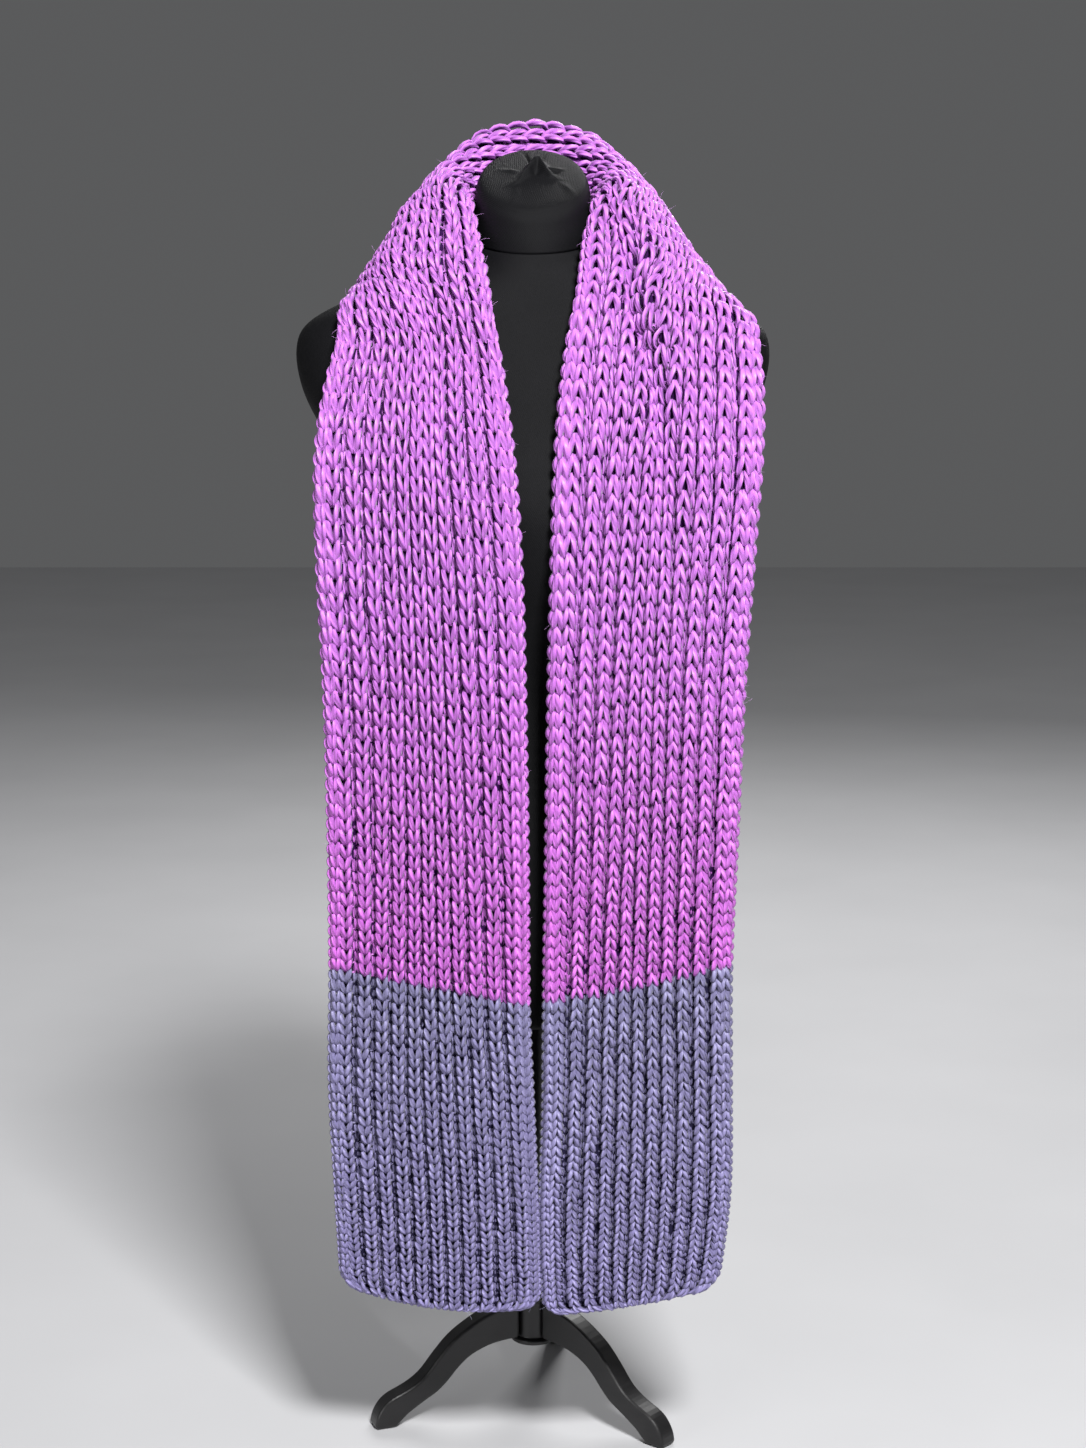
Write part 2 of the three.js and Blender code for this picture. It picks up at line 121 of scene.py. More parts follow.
class Value:
    """One output of a material's node. Sums and products of it add the Math nodes they need."""

    def __init__(self, finish, socket):
        self.finish = finish
        self.socket = socket

    def __add__(self, other):
        return self.finish.maths("ADD", self, other)

    def __sub__(self, other):
        return self.finish.maths("SUBTRACT", self, other)

    def __rsub__(self, other):
        return self.finish.maths("SUBTRACT", other, self)

    def __mul__(self, other):
        return self.finish.maths("MULTIPLY", self, other)

    def __truediv__(self, other):
        return self.finish.maths("DIVIDE", self, other)

    __radd__ = __add__


class Finish:
    """A procedural material, built from one Principled surface."""

    def __init__(self, name):
        self.material = bpy.data.materials.new(name)
        self.material.use_nodes = True
        self.tree = self.material.node_tree
        self.tree.nodes.clear()

    def add(self, kind, settings=None, inputs=None, output=0):
        """A node of that type: its settings first, then the values or links of its sockets."""
        node = self.tree.nodes.new(kind)
        for name, setting in (settings or {}).items():
            setattr(node, name, setting)
        for name, value in (inputs or {}).items():
            if isinstance(value, Value):
                self.tree.links.new(value.socket, node.inputs[name])
            else:
                node.inputs[name].default_value = value
        return Value(self, node.outputs[output])

    def maths(self, operation, first, second):
        return self.add("ShaderNodeMath", {"operation": operation}, {0: first, 1: second})

    def sine(self, angle):
        return self.add("ShaderNodeMath", {"operation": "SINE"}, {0: angle})

    def clamp(self, value):
        return self.add("ShaderNodeClamp", {}, {"Value": value})

    def blend(self, factor, first, second):
        """Two colours mixed: first where factor is 0, second where it is 1."""
        return self.add("ShaderNodeMix", {"data_type": "RGBA"}, {0: factor, 6: first, 7: second}, 2)

    def place(self):
        """Object coordinates, in metres."""
        return self.add("ShaderNodeTexCoord", output=3)

    def noise(self, vector, scale, detail):
        return self.add("ShaderNodeTexNoise", {}, {"Vector": vector, "Scale": scale, "Detail": detail})

    def axes(self, vector):
        """The three numbers of a vector."""
        node = self.tree.nodes.new("ShaderNodeSeparateXYZ")
        self.tree.links.new(vector.socket, node.inputs[0])
        return [Value(self, socket) for socket in node.outputs]

    def surface(self, base, roughness, height=None, depth=0.001, **sockets):
        """The Principled surface. height, a number from 0 to 1, is bumped by depth in metres."""
        inputs = {"Base Color": base, "Roughness": roughness}
        if height is not None:
            bump = {"Strength": 1.0, "Distance": depth, "Height": height}
            inputs["Normal"] = self.add("ShaderNodeBump", {}, bump)
        inputs.update({name.replace("_", " "): value for name, value in sockets.items()})
        shader = self.add("ShaderNodeBsdfPrincipled", {}, inputs)
        self.add_output(shader)
        return self.material

    def add_output(self, shader):
        node = self.tree.nodes.new("ShaderNodeOutputMaterial")
        self.tree.links.new(shader.socket, node.inputs["Surface"])


def colour(red, green, blue):
    """A linear colour from 8-bit display values."""
    shown = np.array([red, green, blue]) / 255
    linear = np.where(shown <= 0.04045, shown / 12.92, ((shown + 0.055) / 1.055) ** 2.4)
    return (*linear.tolist(), 1.0)


# Finishes

YARN_PLIES = 4
PLY_TURN = 0.016                 # metres along the yarn for one turn of its plies
TONE_BAND = 0.3                  # metres of height over which the upper tone turns to the lower one
YARN_BUMP = 0.001
JERSEY_LOOP_WIDTH = 0.0016
JERSEY_LOOP_HEIGHT = 0.0012


def yarn_finish(name, upper, lower, painted_shade_and_dark_tone, change_height):
    """Smooth plied yarn: slanting plies along its UV, fine fibres, and a slow change of colour.

    upper turns to lower over TONE_BAND round change_height. The dark colour is painted shade in the
    grooves of the plies and on the yarn's flanks, where it lies against its neighbours; it also
    darkens random patches.
    """
    finish = Finish(name)
    place = finish.place()
    height = finish.axes(place)[2]
    along, around, _ = finish.axes(finish.add("ShaderNodeTexCoord", output=2))
    plies = finish.sine((around * YARN_PLIES + along / PLY_TURN) * TAU) * 0.5 + 0.5
    groove = finish.clamp(1 - plies * 2.0)
    fibres = finish.noise(place, 900, 3)
    cloud = finish.noise(place, 14, 2)
    patch = finish.noise(place, 90, 2)
    low_part = finish.clamp((change_height + TONE_BAND / 2 - height) / TONE_BAND)
    base = finish.blend(low_part, upper, lower)
    base = finish.blend(finish.clamp((cloud - 0.35) * 0.9) * 0.35, base, lower)
    base = finish.blend(finish.clamp((patch - 0.3) * 1.4) * 0.22, base, painted_shade_and_dark_tone)
    # Painted shade in the grooves between the plies, with a little random darkening from the fibres.
    base = finish.blend(groove * 0.4 + fibres * 0.12, base, painted_shade_and_dark_tone)
    # Painted shade on the yarn's flanks, where it lies against its neighbours: the less the surface faces
    # out of the cloth, the darker it is.
    facing = finish.sine(around * TAU)
    base = finish.blend(finish.clamp(0.68 - facing * 0.85) * 0.95, base, painted_shade_and_dark_tone)
    relief = plies * 0.8 + fibres * 0.2
    return finish.surface(base, 0.46 + groove * 0.3, relief, YARN_BUMP,
                          Specular_IOR_Level=0.5, Sheen_Weight=0.15, Sheen_Roughness=0.4)


def shade_sheet_finish(name, tone, deep):
    """Painted shade for the gaps between the stitches, on the dark sheet behind them: a blurred tone in
    fine fibres.
    """
    finish = Finish(name)
    place = finish.place()
    fibres = finish.noise(place, 420, 3)
    cloud = finish.noise(place, 60, 2)
    base = finish.blend(finish.clamp(fibres * 0.7 + cloud * 0.5 - 0.2), deep, tone)
    return finish.surface(base, 0.95, fibres, 0.0006, Specular_IOR_Level=0.1)


def fuzz_finish(name, tone, deep):
    """Loose fibres: the yarn's tone, a little lighter or darker from fibre to fibre."""
    finish = Finish(name)
    shift = finish.noise(finish.place(), 30, 1)
    return finish.surface(finish.blend(shift, deep, tone), 0.6, Specular_IOR_Level=0.2)


def jersey_finish():
    """Matt black stretch jersey: fine slanting loops and a soft nap."""
    finish = Finish("black_jersey")
    place = finish.place()
    x, y, z = finish.axes(place)
    columns = finish.sine((x + y * 0.7) * (TAU / JERSEY_LOOP_WIDTH))
    loops = columns * finish.sine(z * (TAU / JERSEY_LOOP_HEIGHT)) * 0.5 + 0.5
    cloud = finish.noise(place, 16, 3)
    grain = finish.noise(place, 700, 2)
    base = finish.blend(cloud, colour(7, 7, 8), colour(15, 15, 17))
    base = finish.blend(grain * 0.3, base, colour(32, 32, 35))
    return finish.surface(base, 0.62 - cloud * 0.1, loops * 0.6 + grain * 0.4, 0.00035,
                          Specular_IOR_Level=0.09)


def lacquer_finish():
    """Satin black lacquer over fine wood grain, a little worn where it is handled."""
    finish = Finish("black_lacquer")
    place = finish.place()
    stretched = finish.add("ShaderNodeMapping", {}, {"Vector": place, "Scale": (30, 30, 260)})
    grain = finish.noise(stretched, 1.0, 4)
    wear = finish.clamp((finish.noise(place, 24, 4) - 0.55) * 4)
    base = finish.blend(grain, colour(12, 12, 13), colour(27, 26, 27))
    base = finish.blend(wear * 0.4, base, colour(52, 50, 50))
    return finish.surface(base, 0.3 + grain * 0.16 + wear * 0.2, grain, 0.00012, Specular_IOR_Level=0.5)


def floor_finish():
    """Pale studio floor with the faintest mottling."""
    finish = Finish("floor")
    mottle = finish.noise(finish.place(), 3, 3)
    return finish.surface(finish.blend(mottle, colour(172, 172, 174), colour(182, 182, 184)), 0.8)


# Mesh tools


def make_mesh(name, points, quads, triangles=(), uv=None):
    """A smooth mesh from points in metres and corner numbers. uv has a pair for each corner."""
    quads = np.asarray(quads, np.int32).reshape(-1, 4)
    triangles = np.asarray(triangles, np.int32).reshape(-1, 3)
    corners = np.concatenate([quads.ravel(), triangles.ravel()])
    starts = np.concatenate([np.arange(len(quads)) * 4, 4 * len(quads) + np.arange(len(triangles)) * 3])
    sizes = np.concatenate([np.full(len(quads), 4), np.full(len(triangles), 3)])
    mesh = bpy.data.meshes.new(name)
    mesh.vertices.add(len(points))
    mesh.vertices.foreach_set("co", np.asarray(points, np.float32).ravel())
    mesh.loops.add(len(corners))
    mesh.loops.foreach_set("vertex_index", corners.astype(np.int32))
    mesh.polygons.add(len(sizes))
    mesh.polygons.foreach_set("loop_start", starts.astype(np.int32))
    mesh.polygons.foreach_set("loop_total", sizes.astype(np.int32))
    mesh.polygons.foreach_set("use_smooth", np.full(len(sizes), True))
    if uv is not None:
        layer = mesh.uv_layers.new(name="lay")
        layer.data.foreach_set("uv", np.asarray(uv, np.float32).ravel())
    mesh.update(calc_edges=True)
    mesh.validate()
    piece = bpy.data.objects.new(name, mesh)
    bpy.context.scene.collection.objects.link(piece)
    return piece


def dress(piece, material):
    """Gives a piece its material, and makes it move with the one body."""
    piece.data.materials.append(material)
    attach(piece, "root")
    return piece


def ring_quads(rows, sides):
    """Corner numbers of a grid of rows whose sides run round: row by row, faces to the outside."""
    r, k = np.meshgrid(np.arange(rows - 1), np.arange(sides), indexing="ij")
    here, there = r * sides, (r + 1) * sides
    after = (k + 1) % sides
    return np.stack([here + k, here + after, there + after, there + k], -1).reshape(-1, 4)


def closed_stack(name, rings):
    """A closed body from stacked rings, which run the same way round, rising.

    rings has the shape (levels, sides, 3). A point at the middle of each end ring closes it.
    """
    levels, sides = rings.shape[:2]
    points = np.concatenate([rings.reshape(-1, 3), rings[:1].mean(1), rings[-1:].mean(1)])
    k = np.arange(sides)
    after = (k + 1) % sides
    bottom = np.stack([np.full(sides, levels * sides), after, k], -1)
    last = (levels - 1) * sides
    top = np.stack([np.full(sides, levels * sides + 1), last + k, last + after], -1)
    return make_mesh(name, AXIS + points * MM, ring_quads(levels, sides), np.concatenate([bottom, top]))


# The cloth surface

# One row for each cross-section, from the nape to a hem. The columns are x, y, z of the inner edge,
# of the middle and of the outer edge, then how round the section is, 0 a flat bow and 1 an arch.
NAPE = (0, 61, 1085, 0, 90, 1178, 0, 118, 1116, 1)
LEFT_SECTIONS = (
    (-36, 52, 1088, -43, 82, 1170, -44, 113, 1109, 0.95),    # nape side
    (-56, 24, 1098, -74, 60, 1146, -84, 97, 1087, 0.8),      # neck back corner
    (-57, -8, 1109, -95, 24, 1121, -106, 78, 1070, 0.9),     # neck side
    (-50, -40, 1079, -103, -12, 1095, -122, 56, 1052, 0.9),  # shoulder ridge
    (-43, -65, 1048, -111, -50, 1058, -142, 22, 1043.6, 0.8),  # shoulder top
    (-36, -82, 1015, -107, -81, 1022, -162, -47, 1020.3, 0.5),  # shoulder front
    (-29, -95, 980, -100, -91, 991, -165, -76, 993, 0.1),    # collarbone
    (-23, -109, 937, -99, -108, 948, -174, -97, 955, 0),     # upper chest
    (-17, -124, 880, -99, -124, 890, -181, -116, 898, 0),    # bust top
    (-12, -131, 796, -97, -133, 807, -180, -127, 814, 0),    # bust
    (-9, -134, 678, -92, -137, 691, -175, -133, 700, 0),     # midriff
    (-7, -134, 549, -90, -137, 565, -173, -134, 579, 0),     # waist
    (-6, -134, 423, -89, -137, 439, -173, -134, 456, 0),     # colour join
    (-2, -134, 326, -88, -137, 340, -175, -134, 356, 0),     # slate upper
    (2, -134, 229, -85, -137, 240, -171, -134, 255, 0),      # slate lower
    (4, -134, 148, -82, -137, 148, -167, -134, 169, 0),      # hem
)
RIGHT_SECTIONS = (
    (36, 52, 1088, 43, 82, 1171, 44, 113, 1109, 0.95),       # nape side
    (56, 24, 1098, 76, 60, 1148, 86, 97, 1088, 0.8),         # neck back corner
    (57, -8, 1109, 100, 24, 1120, 112, 80, 1070, 0.95),      # neck side
    (49, -40, 1081, 109, -12, 1096, 126, 58, 1051, 0.9),     # shoulder ridge
    (44, -65, 1053, 118, -48, 1057, 152, 28, 1041.5, 0.75),  # shoulder top
    (38, -81, 1022, 113, -80, 1022, 187, -52, 1009.4, 0.4),  # shoulder front
    (32, -94, 991, 112, -93, 991, 191, -77, 986, 0.1),       # collarbone
    (27, -107, 952, 110, -109, 948, 193, -97, 948, 0),       # upper chest
    (22, -123, 890, 106, -124, 890, 191, -116, 892, 0),      # bust top
    (19, -131, 801, 102, -133, 807, 185, -127, 811, 0),      # bust
    (16, -134, 682, 97, -137, 691, 178, -133, 700, 0),       # midriff
    (14, -134, 552, 94, -137, 565, 174, -134, 580, 0),       # waist
    (12, -134, 427, 91, -137, 441, 170, -134, 460, 0),       # colour join
    (11, -134, 328, 91, -137, 340, 171, -134, 356, 0),       # slate upper
    (8, -134, 228, 89, -137, 240, 171, -134, 255, 0),        # slate lower
    (11, -134, 142, 86, -137, 151, 162, -134, 168, 0),       # hem
)
SECTIONS = np.array(LEFT_SECTIONS[::-1] + (NAPE,) + RIGHT_SECTIONS, float)
NAPE_INDEX = len(LEFT_SECTIONS)
LAST_STATION = len(SECTIONS) - 1
NECK_STATION = 7
JOIN_STATION = 13
# A ridge with a valley beside it. Side (1 is the right), stations from the nape at the start and the
# end, how far across it lies at each, height in mm, width as a part of the scarf's width, and how
# many mm the ridge slides over its valley.
OVERLAPS = (
    (1, 2.4, 10.4, 0.17, 0.66, 11, 0.08, 3),
    (-1, 2.8, 7.0, 0.46, 0.52, 4, 0.13, 0),
)
# The same columns, without the slide, for a soft hollow.
TROUGHS = (
    (-1, 4.5, 11, 0.44, 0.37, 5, 0.09),
    (1, 6.5, 11.5, 0.53, 0.47, 5, 0.09),
)
VALLEY_DEPTH = 0.8               # as a part of the ridge's height
OVERLAP_FADES = (0.22, 0.5)      # parts of its length over which a fold rises and dies away
TROUGH_FADES = (0.4, 0.4)


def rows_between(table, position):
    """Rows of a table at fractional positions, on a smooth cubic through all of its rows."""
    ends = np.vstack([2 * table[0] - table[1], table, 2 * table[-1] - table[-2]])
    position = np.clip(position, 0, len(table) - 1 - 1e-9)
    index = np.floor(position).astype(int)
    t = (position - index)[..., None]
    p0, p1, p2, p3 = (ends[index + k] for k in range(4))
    return 0.5 * (2 * p1 + (p2 - p0) * t + (2 * p0 - 5 * p1 + 4 * p2 - p3) * t ** 2
                  + (3 * p1 - p0 - 3 * p2 + p3) * t ** 3)


def unit(vectors):
    return vectors / (np.linalg.norm(vectors, axis=-1, keepdims=True) + 1e-12)


def smooth_step(value):
    t = np.clip(value, 0, 1)
    return t * t * (3 - 2 * t)


def plain_cloth(station, across):
    """Inner edge + chord times the share across + crown times the bow, both rounder by round."""
    row = rows_between(SECTIONS, station)
    inner, middle, outer, roundness = row[..., 0:3], row[..., 3:6], row[..., 6:9], row[..., 9:10]
    v = across[..., None]
    share = v + roundness * ((1 - np.cos(np.pi * v)) / 2 - v)
    bow = 4 * v * (1 - v) + roundness * (np.sin(np.pi * v) - 4 * v * (1 - v))
    return inner + (outer - inner) * share + (middle - (inner + outer) / 2) * bow


def fold_strength(station, side, part, fades):
    """0 at both ends of a fold and off its side of the nape, 1 between the fades."""
    on_side = (station - NAPE_INDEX) * side > 0
    return smooth_step(part / fades[0]) * smooth_step((1 - part) / fades[1]) * on_side


def folded_cloth(station, across):
    """The plain cloth, lifted along its front normal by bells across it for each fold."""
    step = 1e-3
    point = plain_cloth(station, across)
    across_way = unit(plain_cloth(station, across + step) - plain_cloth(station, across - step))
    along_way = plain_cloth(station + step, across) - plain_cloth(station - step, across)
    outward = unit(np.cross(along_way, across_way))
    from_nape = np.abs(station - NAPE_INDEX)
    for side, start, end, place, place_end, height, width, slide in OVERLAPS:
        part = (from_nape - start) / (end - start)
        strength = fold_strength(station, side, part, OVERLAP_FADES)
        q = (across - place - (place_end - place) * np.clip(part, 0, 1)) / width
        rise = np.exp(-((q - 0.7) / 0.8) ** 2) - VALLEY_DEPTH * np.exp(-((q + 0.7) / 0.7) ** 2)
        point = point + (strength * height * rise)[..., None] * outward
        point = point - (strength * slide * np.exp(-((q - 0.5) / 0.8) ** 2))[..., None] * across_way
    for side, start, end, place, place_end, height, width in TROUGHS:
        part = (from_nape - start) / (end - start)
        strength = fold_strength(station, side, part, TROUGH_FADES)
        q = (across - place - (place_end - place) * np.clip(part, 0, 1)) / width
        point = point - (strength * height * np.exp(-q * q))[..., None] * outward
    return point


class Cloth:
    """The cloth as a fine grid, spaced evenly in millimetres along its middle and across each row."""

    ROWS = 560
    COLUMNS = 96
    FINE_ROWS = 4001
    FINE_COLUMNS = 193
    MOST_LEAN = 0.16

    def __init__(self):
        fine = np.linspace(0, LAST_STATION, self.FINE_ROWS)
        middle = plain_cloth(fine, np.full_like(fine, 0.5))
        lengths = np.concatenate([[0], np.cumsum(np.linalg.norm(np.diff(middle, axis=0), axis=1))])
        self.length = lengths[-1]
        self.station_lengths = np.interp(np.arange(LAST_STATION + 1), fine, lengths)
        stations = np.interp(np.linspace(0, self.length, self.ROWS + 1), lengths, fine)
        shares = np.linspace(0, 1, self.FINE_COLUMNS)
        grid = folded_cloth(*np.meshgrid(stations, shares, indexing="ij"))
        steps = np.linalg.norm(np.diff(grid, axis=1), axis=2)
        reach = np.concatenate([np.zeros((len(stations), 1)), np.cumsum(steps, axis=1)], 1)
        self.widths = reach[:, -1]
        wanted = np.linspace(0, 1, self.COLUMNS + 1)
        whole = (reach / reach[:, -1:] + np.arange(len(stations))[:, None] * 2).ravel()
        at = (wanted[None] + np.arange(len(stations))[:, None] * 2).ravel()
        self.points = np.stack([np.interp(at, whole, grid[..., k].ravel()) for k in range(3)], -1)
        self.points = self.points.reshape(len(stations), self.COLUMNS + 1, 3)
        self.along = unit(np.gradient(self.points, axis=0))
        self.across = unit(np.gradient(self.points, axis=1))
        self.outward = unit(np.cross(self.along, self.across))

    def at(self, length, across, lift):
        """Points at a length along, a share across and a lift in mm above the middle surface.

        Past an edge or a hem the cloth's own direction carries on straight.
        """
        length, across, lift = np.broadcast_arrays(length, across, lift)
        row = length / self.length * self.ROWS
        column = across * self.COLUMNS
        i = np.clip(np.floor(row).astype(int), 0, self.ROWS - 1)
        j = np.clip(np.floor(column).astype(int), 0, self.COLUMNS - 1)
        a, b = (row - i)[..., None], (column - j)[..., None]

        def between(grid):
            near = grid[i, j] * (1 - b) + grid[i, j + 1] * b
            far = grid[i + 1, j] * (1 - b) + grid[i + 1, j + 1] * b
            return near * (1 - a) + far * a

        return between(self.points) + unit(between(self.outward)) * lift[..., None]

    def lean(self, length, across):
        """Sine of the angle by which the rows lean off square to the wales, up to MOST_LEAN."""
        row = np.clip(np.rint(length / self.length * self.ROWS).astype(int), 0, self.ROWS)
        column = np.clip(np.rint(across * self.COLUMNS).astype(int), 0, self.COLUMNS)
        sine = (self.along[row, column] * self.across[row, column]).sum(-1)
        return np.clip(sine, -self.MOST_LEAN, self.MOST_LEAN)

    def width_at(self, length):
        return np.interp(length, np.linspace(0, self.length, self.ROWS + 1), self.widths)


cloth = Cloth()


# Stitches

WALES = 23                       # knit at the odd numbers and at both edges, purl at the others
EDGE_INSET = 3.4                 # mm from the cloth's edge to the middle of the outermost wale
HEM_CORNER = 15
TUBE_SIDES = 6
# Distance in mm from the nearest hem, and the height of a row of stitches there.
ROW_PITCH = np.array([
    (0, 6.3), (80, 6.6), (158, 8.1), (226, 9.2), (329, 10.0), (491, 12.8),
    (568, 13.7), (653, 15.2), (800, 15.7), (940, 16.6), (1200, 17),
])
# How much wider the wales lie at the edges than in the middle, at stations from the nape.
OPEN_STATIONS = (2, 5, 8, 11, 14)
OPENNESS = (0.0, 0.12, 0.26, 0.22, 0.08)
# The fabric is firm up to FIRM_REACH mm from a hem, and open FIRM_FADE mm further on.
FIRM_REACH = 280
FIRM_FADE = 380
# The stitch tables are drawn for a wale this wide and a row this high, in mm.
DRAWN_WALE = 7.6
DRAWN_ROW = 8.5
EDGE_WALE_SHARE = 0.72           # an edge stitch is narrower than the others
NAPE_PLUMPNESS = 1.06            # the yarn is thicker at the nape, and evens out by NAPE_REACH
NAPE_REACH = 160
# Seeded differences: sideways, up, to the front and in radius, as in the stitch tables.
POINT_WOBBLE = np.array([0.22, 0.022, 0.2, 0.09])
STITCH_WOBBLE = np.array([0.34, 0.045, 0.35, 0.14])
STITCH_SEED = 7
COURSE_END = np.array([0.3, -0.14, 1.5, 0])
# Points of one half of a stitch, bottom to top: mm sideways from its middle, rows up, mm to the
# front, yarn radius in mm, for a knit stitch in open and in firm fabric and for a purl stitch, which
# lies deep between two ribs and deeper by FIRM_DEPTH in firm fabric.
OPEN_STITCH = np.array([
    (-3.6, -0.12, -1.2, 1.7),     # between two stitches
    (-1.15, -0.06, 1.0, 1.9),     # foot of the leg
    (-2.65, 0.42, 4.6, 2.7),      # leg
    (-4.1, 0.93, 3.9, 2.25),      # shoulder of the leg
    (-3.7, 1.17, -1.2, 1.8),      # side of the loop
    (0.0, 1.3, -2.6, 1.8),        # top of the loop, behind the next row
])
FIRM_STITCH = np.array([
    (-3.5, -0.12, -1.2, 1.6),
    (-0.7, -0.08, 0.2, 1.6),
    (-2.2, 0.42, 4.2, 2.4),
    (-3.7, 0.96, 4.4, 2.1),
    (-3.4, 1.2, -1.2, 1.6),
    (0.0, 1.32, -2.4, 1.7),
])
PURL_STITCH = np.array([
    (-3.6, -0.12, -1.6, 1.6),
    (-1.7, -0.02, -2.6, 1.6),
    (-1.2, 0.42, -1.8, 1.8),
    (-1.3, 0.78, -2.2, 1.5),
    (-2.4, 1.02, -3.8, 1.6),
    (0.0, 1.26, -3.6, 1.8),
])
FIRM_DEPTH = 0.5
STITCH_POINTS = 10               # points of a whole stitch, left to right
# Places along a stitch's ten points where the yarn gets a ring: closest on the legs that show.
KNIT_RINGS = (0, 1, 1.5, 2, 2.5, 3, 3.35, 4, 5, 6, 6.65, 7, 7.5, 8, 8.5, 9)
PURL_RINGS = (0, 1, 2, 3, 3.7, 4.4, 5, 5.6, 6.3, 7, 8, 9)


def row_lengths():
    """Where each row starts, in mm along the cloth, and the rows where the colour changes.

    Within each colour the rows follow ROW_PITCH, stretched a little so that a whole number fits.
    """
    marks = [0, cloth.station_lengths[NAPE_INDEX - JOIN_STATION],
             cloth.station_lengths[NAPE_INDEX + JOIN_STATION], cloth.length]
    lengths, changes = [], [0]
    for start, end in zip(marks[:-1], marks[1:]):
        fine = np.linspace(start, end, 2000)
        pitch = np.interp(np.minimum(fine, cloth.length - fine), ROW_PITCH[:, 0], ROW_PITCH[:, 1])
        rows = np.concatenate([[0], np.cumsum(np.diff(fine) / pitch[1:])])
        count = int(round(rows[-1]))
        lengths.append(np.interp(np.arange(count), rows * count / rows[-1], fine))
        changes.append(changes[-1] + count)
    return np.concatenate([*lengths, [cloth.length]]), changes


ROW_STARTS, COLOUR_CHANGES = row_lengths()
ROW_COUNT = len(ROW_STARTS) - 1


def row_to_length(row):
    """Length along the cloth at a fractional row. Past the last row it carries on evenly."""
    steps = np.arange(ROW_COUNT + 1)
    before = row * (ROW_STARTS[1] - ROW_STARTS[0])
    after = cloth.length + (row - ROW_COUNT) * (ROW_STARTS[-1] - ROW_STARTS[-2])
    inside = np.interp(row, steps, ROW_STARTS)
    return np.where(row < 0, before, np.where(row > ROW_COUNT, after, inside))


def openness(length):
    """OPENNESS at a length along the cloth: most where the cloth is gathered."""
    from_nape = np.abs(np.interp(length, cloth.station_lengths, np.arange(LAST_STATION + 1)) - NAPE_INDEX)
    return np.interp(from_nape, OPEN_STATIONS, OPENNESS)


def wale_to_share(wale, length):
    """Share across the cloth at a fractional wale: the outermost ones lie EDGE_INSET inside.

    At u of the way across lies u + openness · sin(2 pi u) / (2 pi). Near a hem the edges follow a
    quarter circle of HEM_CORNER.
    """
    width = cloth.width_at(length)
    short = HEM_CORNER - np.clip(np.minimum(length, cloth.length - length), 0, HEM_CORNER)
    inset = EDGE_INSET + HEM_CORNER - np.sqrt(HEM_CORNER ** 2 - short ** 2)
    u = wale / (WALES - 1)
    return (inset + (width - 2 * inset) * (u + openness(length) * np.sin(TAU * u) / TAU)) / width


def sweep(name, path, radius, facing, sides=TUBE_SIDES):
    """Closed tubes along many paths at once: ring = path + radius (cos a · side + sin a · face).

    path has the shape (tubes, rings, 3) in mm, radius (tubes, rings), facing is a direction near
    which the tube's own face direction is kept, so that it doesn't turn. UV: metres along, share round.
    """
    tubes, rings = path.shape[:2]
    way = unit(np.gradient(path, axis=1))
    face = unit(facing - way * (facing * way).sum(-1, keepdims=True))
    side = np.cross(face, way)
    angle = TAU * np.arange(sides) / sides
    around = side[:, :, None] * np.cos(angle)[:, None] + face[:, :, None] * np.sin(angle)[:, None]
    points = path[:, :, None] + around * radius[:, :, None, None]
    tips = np.stack([path[:, 0] - way[:, 0] * radius[:, 0, None] * 0.6,
                     path[:, -1] + way[:, -1] * radius[:, -1, None] * 0.6], 1)
    points = np.concatenate([points.reshape(tubes, -1, 3), tips], 1)
    quads = ring_quads(rings, sides)[:, ::-1]
    k, after = np.arange(sides), (np.arange(sides) + 1) % sides
    last = (rings - 1) * sides
    start = np.stack([np.full(sides, rings * sides), k, after], -1)
    end = np.stack([np.full(sides, rings * sides + 1), last + after, last + k], -1)
    caps = np.concatenate([start, end])
    offset = np.arange(tubes)[:, None, None] * points.shape[1]
    steps = np.linalg.norm(np.diff(path, axis=1), axis=2) * MM
    along = np.concatenate([np.zeros((tubes, 1)), np.cumsum(steps, 1)], 1)
    ring = np.repeat(np.arange(rings - 1), sides)
    spoke = np.tile(np.arange(sides), rings - 1)
    quad_rings = np.stack([ring + 1, ring + 1, ring, ring], -1)
    quad_round = np.stack([spoke, spoke + 1, spoke + 1, spoke], -1) / sides
    quad_uv = np.stack([along[:, quad_rings], np.broadcast_to(quad_round, (tubes, *quad_round.shape))], -1)
    cap_rings = np.concatenate([np.zeros((sides, 3), int), np.full((sides, 3), rings - 1)])
    cap_uv = np.stack([along[:, cap_rings], np.full((tubes, 2 * sides, 3), 0.5)], -1)
    uv = np.concatenate([quad_uv.reshape(-1, 2), cap_uv.reshape(-1, 2)])
    return make_mesh(name, AXIS + points.reshape(-1, 3) * MM, quads[None] + offset, caps[None] + offset, uv)


def stitch_points(firm, purl):
    """The points of a stitch from between-stitches to the last leg's foot, for each firmness."""
    half = OPEN_STITCH + (FIRM_STITCH - OPEN_STITCH) * firm[..., None, None]
    deep = PURL_STITCH - firm[..., None, None] * np.array([0, 0, FIRM_DEPTH, 0])
    half = np.where(purl[..., None, None], deep, half)
    mirrored = half[..., 4:0:-1, :] * np.array([-1, 1, 1, 1])
    return np.concatenate([half, mirrored], -2)


